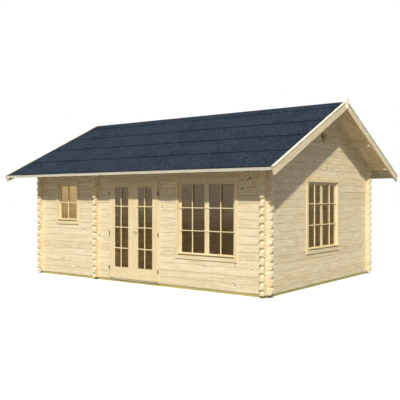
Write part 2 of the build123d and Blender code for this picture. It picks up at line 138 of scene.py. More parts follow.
def makeSpruceGrain():
    # grain runs along the vector's X; Z counts the courses; knots lie on X against Z and Y together
    tree, entry, out = startGroup("spruceGrain", [
        ("Vector", vectorKind, None), ("Light", colorKind, white), ("Dark", colorKind, black),
        ("Knot", colorKind, black), ("Pitch", floatKind, 0.135), ("Base", floatKind, 0.0),
        ("Knot Share", floatKind, 0.3), ("Tone Spread", floatKind, 0.12)],
        [("Color", colorKind), ("Height", floatKind), ("Knots", floatKind)])
    g = grainSettings
    split = addNode(tree, "ShaderNodeSeparateXYZ", {0: entry["Vector"]}).outputs
    course = mathOf(tree, "FLOOR", mathOf(tree, "DIVIDE", mathOf(tree, "SUBTRACT", split[2], entry["Base"]),
                                          entry["Pitch"]))
    lot = addNode(tree, "ShaderNodeTexWhiteNoise", {"W": course}, noise_dimensions="1D").outputs
    shift = vectorOf(tree, "MULTIPLY", lot["Color"], g["drift"])     # each log has its own figure
    shifted = vectorOf(tree, "ADD", entry["Vector"], shift)
    flat = addNode(tree, "ShaderNodeSeparateXYZ", {0: shifted}).outputs
    across = mathOf(tree, "ADD", flat[2], timesOf(tree, flat[1], g["knotLean"]))
    knotPlace = addNode(tree, "ShaderNodeCombineXYZ", {
        0: timesOf(tree, flat[0], g["knotStretch"]), 1: across})
    cells = addNode(tree, "ShaderNodeTexVoronoi", {"Vector": knotPlace.outputs[0], "Scale": g["knotCells"]},
                    voronoi_dimensions="2D").outputs
    cellValue = addNode(tree, "ShaderNodeSeparateColor", {0: cells["Color"]}).outputs
    chosen = mathOf(tree, "LESS_THAN", cellValue[0], entry["Knot Share"])
    dark = mathOf(tree, "LESS_THAN", cellValue[0], timesOf(tree, entry["Knot Share"], g["darkShare"]))
    size = rangeOf(tree, cellValue[1], 0.0, 1.0, g["knotSmall"], g["knotLarge"], smooth=False)
    nearKnot = timesOf(tree, rangeOf(tree, cells["Distance"], g["bendReach"], 0.0), chosen)
    bent = addNode(tree, "ShaderNodeCombineXYZ", {
        0: timesOf(tree, flat[0], g["run"]), 1: flat[1],
        2: mathOf(tree, "ADD", flat[2], timesOf(tree, nearKnot, g["bend"]))}).outputs[0]
    figure = addNode(tree, "ShaderNodeTexWave", {
        "Vector": bent, "Scale": g["figureScale"], "Distortion": 5.5, "Detail": 2.5, "Detail Scale": 2.2},
        wave_type="BANDS", bands_direction="Z").outputs[0]
    fine = noiseOf(tree, bent, g["fineScale"], 3.0, 0.62)
    broad = noiseOf(tree, vectorOf(tree, "MULTIPLY", bent, (g["broadRun"], 1.0, 1.0)), g["broadScale"], 3.0, 0.6)
    lines = mathOf(tree, "ADD", timesOf(tree, rangeOf(tree, figure, 0.35, 1.0), g["figureShare"]),
                   timesOf(tree, rangeOf(tree, fine, 0.38, 0.70), g["fineShare"]))
    patches = timesOf(tree, rangeOf(tree, broad, 0.36, 0.66), g["broadShare"])
    amount = mathOf(tree, "ADD", lines, patches, clamp=True)
    wood = mixOf(tree, amount, entry["Light"], entry["Dark"])
    tone = mathOf(tree, "MULTIPLY_ADD", mathOf(tree, "SUBTRACT", lot["Value"], 0.5), entry["Tone Spread"], 1.0)
    toned = mixOf(tree, 1.0, wood, addNode(tree, "ShaderNodeCombineColor", {
        0: tone, 1: mathOf(tree, "POWER", tone, 1.15), 2: mathOf(tree, "POWER", tone, 1.5)}).outputs[0], "MULTIPLY")
    edge = mathOf(tree, "SUBTRACT", cells["Distance"], size)
    inKnot = timesOf(tree, rangeOf(tree, edge, 0.006, -0.004), dark)
    # pale wood with a few curved lines round each knot
    whorl = timesOf(tree, rangeOf(tree, edge, g["whorlOuter"], g["whorlInner"]), chosen)
    wander = mathOf(tree, "MULTIPLY_ADD", mathOf(tree, "SUBTRACT", broad, 0.5), g["wander"], edge)
    arcs = rangeOf(tree, mathOf(tree, "SINE", timesOf(tree, wander, g["arcs"])), 0.0, 1.0, 0.0, 0.9)
    pale = mixOf(tree, arcs, entry["Light"], mixOf(tree, 0.2, entry["Dark"], entry["Knot"]))
    haloed = mixOf(tree, timesOf(tree, whorl, 0.9), toned, pale)
    heart = rangeOf(tree, edge, -0.030, 0.0, 0.72, 1.0)
    tree.links.new(mixOf(tree, timesOf(tree, inKnot, heart), haloed, entry["Knot"]), out["Color"])
    tree.links.new(mathOf(tree, "SUBTRACT", timesOf(tree, lines, -0.5),
                          timesOf(tree, inKnot, 0.35)), out["Height"])
    tree.links.new(inKnot, out["Knots"])
    return tree


endSettings = {"heartWander": (0.0, 0.05, 0.16), "warpScale": 14.0, "warp": (0.0, 0.006, 0.006), "ringScale": 62.0,
               "poreScale": 480.0, "ringShare": 0.6, "poreShare": 0.4}


def makeEndGrain():
    # growth rings round a heart that wanders a little from log to log
    tree, entry, out = startGroup("endGrain", [
        ("Vector", vectorKind, None), ("Light", colorKind, white), ("Dark", colorKind, black),
        ("Pitch", floatKind, 0.135), ("Base", floatKind, 0.0), ("Middle", floatKind, 0.0)],
        [("Color", colorKind), ("Height", floatKind)])
    g = endSettings
    split = addNode(tree, "ShaderNodeSeparateXYZ", {0: entry["Vector"]}).outputs
    steps = mathOf(tree, "DIVIDE", mathOf(tree, "SUBTRACT", split[2], entry["Base"]), entry["Pitch"])
    lot = addNode(tree, "ShaderNodeTexWhiteNoise", {"W": mathOf(tree, "FLOOR", steps)}, noise_dimensions="1D").outputs
    heart = vectorOf(tree, "MULTIPLY", vectorOf(tree, "SUBTRACT", lot["Color"], (0.5, 0.5, 0.5)), g["heartWander"])
    inLog = timesOf(tree, mathOf(tree, "SUBTRACT", mathOf(tree, "FRACT", steps), 0.5), entry["Pitch"])
    place = addNode(tree, "ShaderNodeCombineXYZ", {
        1: mathOf(tree, "SUBTRACT", mathOf(tree, "ABSOLUTE", split[1]), entry["Middle"]), 2: inLog}).outputs[0]
    warp = addNode(tree, "ShaderNodeTexNoise", {"Vector": entry["Vector"], "Scale": g["warpScale"]}).outputs[1]
    warped = vectorOf(tree, "ADD", vectorOf(tree, "ADD", place, heart), vectorOf(tree, "MULTIPLY", warp, g["warp"]))
    rings = addNode(tree, "ShaderNodeTexWave", {"Vector": warped, "Scale": g["ringScale"], "Distortion": 0.6},
                    wave_type="RINGS", rings_direction="X").outputs[0]
    pores = noiseOf(tree, entry["Vector"], g["poreScale"], 2.0)
    mask = mathOf(tree, "ADD", timesOf(tree, rangeOf(tree, rings, 0.3, 1.0), g["ringShare"]),
                  timesOf(tree, rangeOf(tree, pores, 0.35, 0.7), g["poreShare"]), clamp=True)
    tree.links.new(mixOf(tree, mask, entry["Light"], entry["Dark"]), out["Color"])
    tree.links.new(timesOf(tree, mask, -0.5), out["Height"])
    return tree


weatherSettings = {"raggedScale": 6.0, "ragged": -0.22, "foot": -0.12, "stretch": (14.0, 14.0, 0.6),
                   "splashShare": 0.6}


def makeWeather():
    # 0 to 1: grey splash near the ground and faint stains that run down
    tree, entry, out = startGroup("weather", [
        ("Vector", vectorKind, None), ("Splash Height", floatKind, 0.3), ("Stains", floatKind, 0.3)],
        [("Mask", floatKind)])
    g = weatherSettings
    split = addNode(tree, "ShaderNodeSeparateXYZ", {0: entry["Vector"]}).outputs
    ragged = noiseOf(tree, entry["Vector"], g["raggedScale"], 4.0, 0.6)
    level = mathOf(tree, "ADD", split[2], timesOf(tree, ragged, g["ragged"]))
    splash = rangeOf(tree, level, entry["Splash Height"], g["foot"])
    streakPlace = vectorOf(tree, "MULTIPLY", entry["Vector"], g["stretch"])
    streaks = timesOf(tree, rangeOf(tree, noiseOf(tree, streakPlace, 1.0, 3.0), 0.5, 0.8), entry["Stains"])
    tree.links.new(mathOf(tree, "MAXIMUM", timesOf(tree, splash, g["splashShare"]), streaks), out["Mask"])
    return tree


spruceGrain, endGrain, weather = makeSpruceGrain(), makeEndGrain(), makeWeather()
print("node groups made")

# ---- finishes
spruce = {"light": (252, 240, 205), "dark": (216, 187, 134), "knot": (112, 80, 48),
          "endLight": (252, 242, 206), "endDark": (232, 214, 162), "dirtAndJointShade": (176, 160, 124)}
roofAngle = atan(0.4927)
slopes = ((-1, "front"), (1, "back"))
toSlope = {side: Matrix.Rotation(side * roofAngle, 3, "X") for side, word in slopes}
alongY = Matrix.Rotation(-pi / 2, 3, "Z")      # brings world Y onto the grain's X
alongZ = Matrix.Rotation(pi / 2, 3, "Y")       # brings world Z onto it
cycle = Matrix(((0, 1, 0), (0, 0, 1), (1, 0, 0)))


def startMaterial(name, roughness, **fixed):
    made = bpy.data.materials.new(name)
    made.use_nodes = True
    tree = made.node_tree
    tree.nodes.clear()
    shader = addNode(tree, "ShaderNodeBsdfPrincipled", {"Roughness": roughness})
    for key, value in fixed.items():
        shader.inputs[key.replace("_", " ")].default_value = value
    tree.links.new(shader.outputs[0], tree.nodes.new("ShaderNodeOutputMaterial").inputs[0])
    return made, tree, shader.inputs


def objectVector(tree, turn=None):
    vector = tree.nodes.new("ShaderNodeTexCoord").outputs["Object"]
    if turn is None:
        return vector
    return addNode(tree, "ShaderNodeMapping", {"Vector": vector, "Rotation": turn.to_euler("XYZ")}).outputs[0]


def makeWood(name, turn=None, pitch=50.0, base=-25.0, middle=None, colors=spruce, knots=0.42, spread=0.10,
             splash=0.0, stains=0.12, roughness=0.62, grooveShade=0.0):
    made, tree, shader = startMaterial(name, roughness, Specular_IOR_Level=0.3)
    place = objectVector(tree, turn)
    grain = placeGroup(tree, spruceGrain, {
        "Vector": place, "Light": tint(*colors["light"]), "Dark": tint(*colors["dark"]),
        "Knot": tint(*colors["knot"]), "Pitch": pitch, "Base": base, "Knot Share": knots, "Tone Spread": spread})
    color, height = grain["Color"], grain["Height"]
    if middle is not None:
        ends = placeGroup(tree, endGrain, {
            "Vector": place, "Light": tint(*colors["endLight"]), "Dark": tint(*colors["endDark"]),
            "Pitch": pitch, "Base": base, "Middle": middle})
        normal = tree.nodes.new("ShaderNodeTexCoord").outputs["Normal"]
        if turn is not None:
            normal = addNode(tree, "ShaderNodeMapping", {"Vector": normal, "Rotation": turn.to_euler("XYZ")},
                             vector_type="VECTOR").outputs[0]
        facing = mathOf(tree, "ABSOLUTE", addNode(tree, "ShaderNodeSeparateXYZ", {0: normal}).outputs[0])
        onEnd = rangeOf(tree, facing, 0.55, 0.75)
        color = mixOf(tree, onEnd, color, ends["Color"])
    # painted shade: the colour darkens towards each log joint, in place of the shade that falls in the grooves
    if grooveShade:
        up = addNode(tree, "ShaderNodeSeparateXYZ", {0: place}).outputs[2]
        part = mathOf(tree, "FRACT", mathOf(tree, "DIVIDE", mathOf(tree, "SUBTRACT", up, base), pitch))
        toJoint = mathOf(tree, "MINIMUM", part, mathOf(tree, "SUBTRACT", 1.0, part))
        nearJoint = timesOf(tree, toJoint, pitch)
        jointShade = timesOf(tree, rangeOf(tree, nearJoint, 0.008, 0.0005), grooveShade)
        color = mixOf(tree, jointShade, color, tint(*colors["dirtAndJointShade"]), "MULTIPLY")
    worn = placeGroup(tree, weather, {"Vector": objectVector(tree), "Splash Height": splash, "Stains": stains})
    tree.links.new(mixOf(tree, worn["Mask"], color, mixOf(tree, 0.55, color, tint(*colors["dirtAndJointShade"]))),
                   shader["Base Color"])
    bump = addNode(tree, "ShaderNodeBump", {"Strength": 0.35, "Distance": 0.0012, "Height": height})
    tree.links.new(bump.outputs[0], shader["Normal"])
    return made


cabin = {"pitch": 0.135, "base": 0.045}      # log height and the underside of the lowest logs
gableBase = cabin["base"] - cabin["pitch"] / 2
deckRun, floorRun = {"pitch": 6.554 / 68, "base": -3.277}, {"pitch": 0.1149, "base": -2.01}
# groove sets the strength of the painted shade along the log joints
longLogs = makeWood("longLogs", None, cabin["pitch"], cabin["base"], 2.05, knots=0.58, grooveShade=0.45)
gableLogs = makeWood("gableLogs", alongY, cabin["pitch"], gableBase, 2.81, knots=0.52, grooveShade=0.3)
partitionLogs = makeWood("partitionLogs", alongY, cabin["pitch"], gableBase, 1.08, grooveShade=0.5)
boardX = makeWood("boardAlongX", None)
boardZ = makeWood("boardAlongZ", alongZ)
planed = dict(spruce, light=(246, 230, 188), dark=(226, 202, 148), knot=(166, 120, 74))
joineryX, joineryY, joineryZ = (makeWood(f"joineryAlong{tag}", turn, colors=planed, knots=0.10, roughness=0.5)
                                for tag, turn in (("X", None), ("Y", alongY), ("Z", alongZ)))
slopeBoard = {side: makeWood(f"{word}SlopeBoard", cycle @ toSlope[side], stains=0.08) for side, word in slopes}
deckBoard = {side: makeWood(f"{word}DeckBoard", cycle @ toSlope[side], **deckRun, spread=0.06, stains=0.0)
             for side, word in slopes}
bleached = dict(spruce, light=(255, 250, 232), dark=(249, 238, 212), knot=(214, 190, 150))
capBoard = {side: makeWood(f"{word}CapBoard", cycle @ toSlope[side], colors=bleached, knots=0.1, stains=0.0)
            for side, word in slopes}
capEnd = makeWood("capEnd", alongZ, colors=bleached, knots=0.1, stains=0.0)
greyed = dict(spruce, light=(216, 209, 190), dark=(196, 188, 166), knot=(150, 132, 104))
fasciaWood = makeWood("fasciaWood", None, colors=greyed, knots=0.12)
floorWood = makeWood("floorWood", None, **floorRun, spread=0.14, stains=0.0, roughness=0.45)
treated = {"light": (222, 210, 134), "dark": (196, 184, 100), "knot": (130, 112, 66),
           "endLight": (170, 158, 100), "endDark": (132, 118, 70), "dirtAndJointShade": (120, 112, 84)}
bearerX = makeWood("bearerAlongX", None, colors=treated, roughness=0.8, splash=0.05)
bearerY = makeWood("bearerAlongY", alongY, colors=treated, roughness=0.8, splash=0.05)


def makeFelt(name, settings):
    made, tree, shader = startMaterial(name, settings["roughness"], Specular_IOR_Level=0.1)
    place = objectVector(tree)
    speckle = noiseOf(tree, place, settings["speckleScale"], 2.0, 0.7)
    chips = addNode(tree, "ShaderNodeTexVoronoi", {"Vector": place, "Scale": settings["chipScale"]}).outputs["Color"]
    chip = addNode(tree, "ShaderNodeSeparateColor", {0: chips}).outputs[0]
    broad = noiseOf(tree, place, 2.2, 3.0, 0.6)
    runs = noiseOf(tree, vectorOf(tree, "MULTIPLY", place, (11.0, 0.7, 0.7)), 1.0, 3.0, 0.6)
    color = mixOf(tree, rangeOf(tree, speckle, 0.35, 0.68), tint(*settings["dark"]), tint(*settings["light"]))
    for value, low, high, share, shade in ((chip, 0.86, 0.94, 0.8, "chip"), (broad, 0.40, 0.72, 0.35, "dark"),
                                           (runs, 0.48, 0.78, 0.30, "dust")):
        cover = timesOf(tree, rangeOf(tree, value, low, high), share)
        color = mixOf(tree, cover, color, tint(*settings[shade]))
    # the bitumen seam just below each lap
    down = mathOf(tree, "ABSOLUTE", addNode(tree, "ShaderNodeSeparateXYZ", {0: place}).outputs[1])
    past = mathOf(tree, "FRACT", mathOf(tree, "DIVIDE", mathOf(tree, "SUBTRACT", down, settings["firstLap"]),
                                        settings["strip"]))
    seamShare = settings["seam"] / settings["strip"]
    seam = rangeOf(tree, past, seamShare, 0.3 * seamShare)
    color = mixOf(tree, timesOf(tree, seam, 0.7), color, tint(*settings["bitumen"]))
    tree.links.new(color, shader["Base Color"])
    tree.links.new(addNode(tree, "ShaderNodeBump", {"Strength": 0.6, "Distance": 0.0015, "Height": mathOf(
        tree, "ADD", speckle, timesOf(tree, chip, 0.4))}).outputs[0], shader["Normal"])
    return made


felt = makeFelt("slateFelt", {"dark": (18, 28, 41), "light": (51, 63, 78), "chip": (112, 124, 140),
                              "dust": (56, 64, 74), "bitumen": (14, 20, 28), "firstLap": 0.235, "strip": 0.59475,
                              "seam": 0.045, "speckleScale": 60.0, "chipScale": 120.0, "roughness": 0.9})


def makeSteel(name, settings):
    made, tree, shader = startMaterial(name, 0.35, Metallic=1.0)
    place = objectVector(tree)
    brushed = noiseOf(tree, vectorOf(tree, "MULTIPLY", place, (900.0, 900.0, 60.0)), 1.0, 3.0, 0.6)
    smears = noiseOf(tree, place, 45.0, 3.0, 0.6)
    tree.links.new(mixOf(tree, rangeOf(tree, smears, 0.4, 0.75), tint(*settings["light"]), tint(*settings["dark"])),
                   shader["Base Color"])
    rough = rangeOf(tree, brushed, 0.2, 0.8, settings["smooth"], settings["rough"], False)
    tree.links.new(rough, shader["Roughness"])
    tree.links.new(addNode(tree, "ShaderNodeBump", {"Strength": 0.15, "Distance": 0.0002,
                                                    "Height": brushed}).outputs[0], shader["Normal"])
    return made


# near-black steel for the key's slot: painted shade for the keyhole
keyholeShade = makeSteel("keyholeShadeSteel", {"light": (40, 40, 42), "dark": (22, 22, 24), "smooth": 0.5, "rough": 0.7})
steel = makeSteel("brushedSteel", {"light": (255, 250, 238), "dark": (232, 226, 212), "smooth": 0.42, "rough": 0.58})
darkSteel = makeSteel("darkSteel", {"light": (62, 56, 48), "dark": (40, 36, 32), "smooth": 0.55, "rough": 0.75})


def makeGlass(name, settings):
    made, tree, shader = startMaterial(name, 0.02, Transmission_Weight=1.0, IOR=settings["ior"])
    film = noiseOf(tree, objectVector(tree), 3.0, 3.0, 0.6)
    tree.links.new(rangeOf(tree, film, 0.35, 0.75, 0.0, settings["haze"]), shader["Roughness"])
    tree.links.new(mixOf(tree, film, tint(*settings["clear"]), tint(*settings["edge"])), shader["Base Color"])
    # daylight falls through the panes
    surface = tree.nodes["Principled BSDF"].outputs[0]
    through = addNode(tree, "ShaderNodeBsdfTransparent", {"Color": tint(*settings["light"])}).outputs[0]
    shadow = tree.nodes.new("ShaderNodeLightPath").outputs["Is Shadow Ray"]
    mixed = tree.nodes.new("ShaderNodeMixShader")
    for count, value in enumerate((shadow, surface, through)):
        tree.links.new(value, mixed.inputs[count])
    tree.links.new(mixed.outputs[0], tree.nodes["Material Output"].inputs[0])
    return made


glass = makeGlass("windowGlass", {"ior": 1.62, "haze": 0.05, "clear": (232, 211, 160), "edge": (226, 204, 150),
                                  "light": (104, 100, 92)})
print("materials made")


# ---- CAD nodes that keep their shape
def dress(material, *names):
    for name in names:
        mesh = cadNodes[name].data
        mesh.materials.clear()
        mesh.materials.append(material)


for wall in ("front_wall", "back_wall"):
    dress(longLogs, f"{wall}_odd_logs", f"{wall}_even_logs")
for wall in ("left_gable", "right_gable"):
    dress(gableLogs, f"{wall}_odd_logs", f"{wall}_even_logs")
dress(partitionLogs, "partition_odd_logs", "partition_even_logs")
dress(boardX, "purlins", "door_threshold", "inside_casings")
dress(fasciaWood, "fascia_boards")
dress(bearerX, "long_bearers")
dress(bearerY, "cross_bearers")
for side, word in slopes:
    dress(slopeBoard[side], f"{word}_bargeboards")
    dress(capBoard[side], f"{word}_barge_caps")
    dress(felt, f"{word}_roof_felt", f"{word}_felt_edges")
dress(felt, "ridge_felt")
dress(capEnd, "apex_blocks")
dress(boardZ, "window_frames", "door_frame", "left_door_leaf", "right_door_leaf", "window_sashes")
dress(glass, "window_glass", "left_door_glass", "right_door_glass")
dress(darkSteel, "left_leaf_barrels", "right_leaf_barrels", "frame_barrels")
dress(steel, "lock_plate", "door_lever")
dress(joineryZ, "window_casings", "door_casing", "window_weather_bars")
dress(floorWood, "floor_boards")
print("frame dressed")


# ---- making boards
def addBoard(target, low, high, edge=0.0015, slotIndex=0, wide=None, wideEdge=0.0, wideSegments=2, move=None):
    # one board with eased edges; wide picks edges, by middle and direction, for a deeper chamfer or round
    part = bmesh.new()
    bmesh.ops.create_cube(part, size=1.0)
    low, high = Vector(low), Vector(high)
    bmesh.ops.scale(part, vec=high - low, verts=part.verts)
    bmesh.ops.translate(part, vec=(low + high) / 2, verts=part.verts)
    if wide is not None:
        chosen = [e for e in part.edges if wide((e.verts[0].co + e.verts[1].co) / 2,
                                                (e.verts[1].co - e.verts[0].co).normalized())]
        bmesh.ops.bevel(part, geom=chosen, offset=wideEdge, offset_type="OFFSET", segments=wideSegments,
                        profile=0.5, affect="EDGES", material=-1, clamp_overlap=True)
    sharp = [e for e in part.edges if e.calc_face_angle(0) > radians(50)]
    bmesh.ops.bevel(part, geom=sharp, offset=edge, offset_type="OFFSET", segments=1, profile=0.5,
                    affect="EDGES", material=-1, clamp_overlap=True)
    if move is not None:
        bmesh.ops.transform(part, matrix=move, verts=part.verts)
    pour(part, target, slotIndex)


def pour(part, target, slotIndex):
    for face in part.faces:
        face.material_index = slotIndex
    carried = bpy.data.meshes.new("carried")
    part.to_mesh(carried)
    target.from_mesh(carried)
    bpy.data.meshes.remove(carried)
    part.free()


screwSettings = {"rise": 0.35, "taper": 0.8, "rim": 0.35, "sunk": 0.3, "sides": 10}       # shares of the radius


def addScrews(target, places, outward, slotIndex, radius=0.0042):
    # low round heads with a sunk drive, on the face that they hold
    s = screwSettings
    for place in places:
        part = bmesh.new()
        bmesh.ops.create_circle(part, cap_ends=True, radius=radius, segments=s["sides"])
        dome = bmesh.ops.extrude_face_region(part, geom=list(part.faces))["geom"]
        top = [v for v in dome if isinstance(v, bmesh.types.BMVert)]
        bmesh.ops.translate(part, vec=(0, 0, radius * s["rise"]), verts=top)
        bmesh.ops.scale(part, vec=(s["taper"], s["taper"], 1.0), verts=top)
        crown = [f for f in part.faces if f.calc_center_median().z > radius * s["sunk"]]
        bmesh.ops.inset_region(part, faces=crown, thickness=radius * s["rim"])
        middle = [f for f in part.faces if f.calc_center_median().z > radius * s["sunk"]
                  and f.calc_area() < radius ** 2]
        bmesh.ops.translate(part, vec=(0, 0, -radius * s["sunk"]), verts=list({v for f in middle for v in f.verts}))
        bmesh.ops.recalc_face_normals(part, faces=part.faces)
        turn = Vector((0, 0, 1)).rotation_difference(Vector(outward)).to_matrix().to_4x4()
        bmesh.ops.transform(part, matrix=Matrix.Translation(place) @ turn, verts=part.verts)
        pour(part, target, slotIndex)


def finishPiece(bm, name, body, materials, replaced=(), smooth=False):
    mesh = bpy.data.meshes.new(name)
    bm.to_mesh(mesh)
    bm.free()
    for material in materials:
        mesh.materials.append(material)
    if smooth:
        mesh.shade_smooth()
    piece = newObject(name, mesh)
    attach(piece, body)
    if replaced:
        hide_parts(*replaced)
    return piece


def alongLine(axis, y=None, x=None, z=None, reach=0.003):
    # picks edges that run along an axis and lie on the given lines
    def test(middle, direction):
        if abs(direction[axis]) < 0.9:
            return False
        return all(want is None or any(abs(middle[count] - one) < reach for one in want)
                   for count, want in ((0, x), (1, y), (2, z)))
    return test


def twoEnds(low, high, width):
    # the bands at both ends of a span, each with its inner edge
    return (low, low + width, low + width), (high - width, high, high - width)


# ---- windows
windowSettings = {
    "small": {"middle": -1.964, "half": 0.309, "sill": 1.125, "sashes": 1, "bars": (1.526,)},
    "large": {"middle": 1.618, "half": 0.633, "sill": 0.585, "sashes": 2, "bars": (1.045, 1.449)},
    "gable": {"middle": -0.045, "half": 0.633, "sill": 0.6525, "sashes": 2, "bars": (1.123, 1.514)},
    "head": 1.935, "lining": 0.022, "overlap": 0.045, "sideOverlap": 0.035, "ear": 0.022, "headProud": 0.005,
    "reveal": 0.002, "casing": 0.020,
    "sashFace": 0.028, "sashBack": 0.060, "member": 0.044, "gap": 0.002, "glassFace": 0.034, "glassBack": 0.050,
    "bar": 0.018, "barProud": 0.020, "barRun": 0.020, "levelRun": 0.038, "bead": 0.006, "beadRound": 0.004,
    "weatherBar": 0.022, "weatherReach": 0.062, "weatherLift": 0.020, "screwEnd": 0.03, "screwIn": 0.022,
    "ease": 0.001, "sashEase": 0.0012, "beadEase": 0.0006, "casingEdge": 0.002, "sashRound": 0.005, "barRound": 0.006,
    "weatherRound": 0.010, "beadIn": 0.001}
hair = 0.0005        # the level bars stand this much prouder than the upright ones


def makeWindow(kind, level, upright):
    # drawn with the wall's outer face at y = 0 and the room at +y, then turned and moved into its wall
    w, own = windowSettings, windowSettings[kind]
    inFront = kind != "gable"
    place = (Matrix.Translation((own["middle"], -2.085, 0)) if inFront else
             Matrix.Translation((2.845, own["middle"], 0)) @ Matrix.Rotation(pi / 2, 4, "Z"))
    outward = (0, -1, 0) if inFront else (1, 0, 0)
    half, sill, head, inside = own["half"], own["sill"], w["head"], own["half"] - w["lining"]
    outer, inner = half + w["sideOverlap"], inside + w["reveal"]
    casing = bmesh.new()
    face = alongLine(2, y=(-w["casing"],))
    for side in (-1, 1):
        ends = sorted((side * outer, side * inner))
        addBoard(casing, (ends[0], -w["casing"], sill + w["lining"] - w["reveal"]),
                 (ends[1], 0, head - w["lining"] + w["reveal"]), w["ease"], 1, face, w["casingEdge"], move=place)
    for low, high in ((sill - w["overlap"], sill + w["lining"] - w["reveal"]),
                      (head - w["lining"] + w["reveal"], head + w["overlap"])):
        ear, proud = (w["ear"], w["headProud"]) if low > sill else (0.0, 0.0)
        face = alongLine(0, y=(-w["casing"] - proud,))
        addBoard(casing, (-outer - ear, -w["casing"] - proud, low), (outer + ear, 0, high), w["ease"], 0, face,
                 w["casingEdge"], move=place)
    heights = [sill + w["screwEnd"], head - w["screwEnd"]] + [sill + (head - sill) * share for share in (0.35, 0.68)]
    places = [place @ Vector((side * (outer - w["screwIn"]), -w["casing"], z)) for side in (-1, 1) for z in heights]
    addScrews(casing, places, outward, 2)
    finishPiece(casing, f"{kind}WindowCasing", "cabin", [level, upright, steel], ["window_casings"])
    sash, bars, beads = bmesh.new(), bmesh.new(), bmesh.new()
    low, high, member = sill + w["lining"], head - w["lining"], w["member"]
    width = (2 * inside - w["gap"] * (own["sashes"] - 1)) / own["sashes"]
    for count in range(own["sashes"]):
        x0 = -inside + count * (width + w["gap"])
        x1 = x0 + width
        for near, far, glassSide in twoEnds(x0, x1, member):
            addBoard(sash, (near, w["sashFace"], low), (far, w["sashBack"], high), w["sashEase"], 1,
                     alongLine(2, y=(w["sashFace"],), x=(glassSide,)), w["sashRound"], 2, place)
        for foot, top, glassSide in twoEnds(low, high, member):
            addBoard(sash, (x0 + member, w["sashFace"], foot), (x1 - member, w["sashBack"], top),
                     w["sashEase"], 0, alongLine(0, y=(w["sashFace"],), z=(glassSide,)), w["sashRound"], 2, place)
        # beads round the glass, inside and out
        g0, g1, f0, f1 = x0 + member, x1 - member, low + member, high - member
        for near, far, front in ((w["sashFace"] + w["beadIn"], w["glassFace"], True),
                                 (w["glassBack"], w["sashBack"] - w["beadIn"], False)):
            edgeY = near if front else far
            for a, b, free in twoEnds(g0, g1, w["bead"]):
                addBoard(beads, (a, near, f0), (b, far, f1), w["beadEase"], 1, alongLine(2, y=(edgeY,), x=(free,)),
                         w["beadRound"], 2, place)
            for a, b, free in twoEnds(f0, f1, w["bead"]):
                addBoard(beads, (g0 + w["bead"], near, a), (g1 - w["bead"], far, b), w["beadEase"], 0,
                         alongLine(0, y=(edgeY,), z=(free,)), w["beadRound"], 2, place)
        # clip-on bars stand on the face of the sash and run a little over it
        barFace, thick = w["sashFace"] - w["barProud"], w["bar"] / 2
        middle = (x0 + x1) / 2
        addBoard(bars, (middle - thick, barFace, f0 - w["barRun"]), (middle + thick, w["sashFace"], f1 + w["barRun"]),
                 w["ease"], 1, alongLine(2, y=(barFace,)), w["barRound"], 3, place)
        levelFace = barFace - hair
        for z in own["bars"]:
            addBoard(bars, (g0 - w["levelRun"], levelFace, z - thick), (g1 + w["levelRun"], w["sashFace"], z + thick),
                     w["ease"], 0, alongLine(0, y=(levelFace,)), w["barRound"], 3, place)
    finishPiece(sash, f"{kind}WindowSash", "cabin", [level, upright], ["window_sashes"])
    finishPiece(bars, f"{kind}WindowBars", "cabin", [level, upright])
    finishPiece(beads, f"{kind}WindowBeads", "cabin", [level, upright])
    drip = bmesh.new()
    front = w["sashFace"] - w["weatherReach"]
    foot, top = low + w["weatherLift"], low + w["weatherLift"] + w["weatherBar"]
    addBoard(drip, (-inside, front, foot), (inside, w["sashFace"], top), w["sashEase"], 0,
             alongLine(0, y=(front,), z=(top,)), w["weatherRound"], 3, place)
    finishPiece(drip, f"{kind}WindowWeatherBar", "cabin", [level], ["window_weather_bars"])


makeWindow("small", joineryX, joineryZ)
makeWindow("large", joineryX, joineryZ)
makeWindow("gable", joineryY, joineryZ)
print("windows made")

# ---- double door
doorSettings = {"middle": -0.082, "casingIn": 0.601, "casingOut": 0.651, "casingFace": -2.097, "wallFace": -2.085,
                "foot": 0.045, "liningTop": 1.913, "casingTop": 1.990,
                "lipNear": 0.0035, "lipHalf": 0.622, "bodyNear": 0.0075, "bodyHalf": 0.595,
                "face": -2.115, "lipBack": -2.103, "back": -2.075, "leafFoot": 0.073, "lipTop": 1.934,
                "bodyTop": 1.907, "glassNear": 0.1235, "glassFar": 0.486, "glassFoot": 0.287, "glassTop": 1.836,
                "glassFace": -2.109, "glassBack": -2.093, "bars": (0.659, 1.061, 1.462), "bar": 0.020,
                "barProud": 0.014, "barRun": 0.020, "levelRun": 0.034, "bead": 0.004, "beadRound": 0.003,
                "ease": 0.001, "beadEase": 0.0006, "casingEdge": 0.003, "leafRound": 0.005, "barRound": 0.005,
                "screwIn": 0.012, "screwHeights": (0.12, 0.55, 1.35, 1.86), "screwTop": 1.962,
                "screwAcross": (-0.6, -0.2, 0.2, 0.6), "beadFace": -2.113, "beadBack": -2.079}


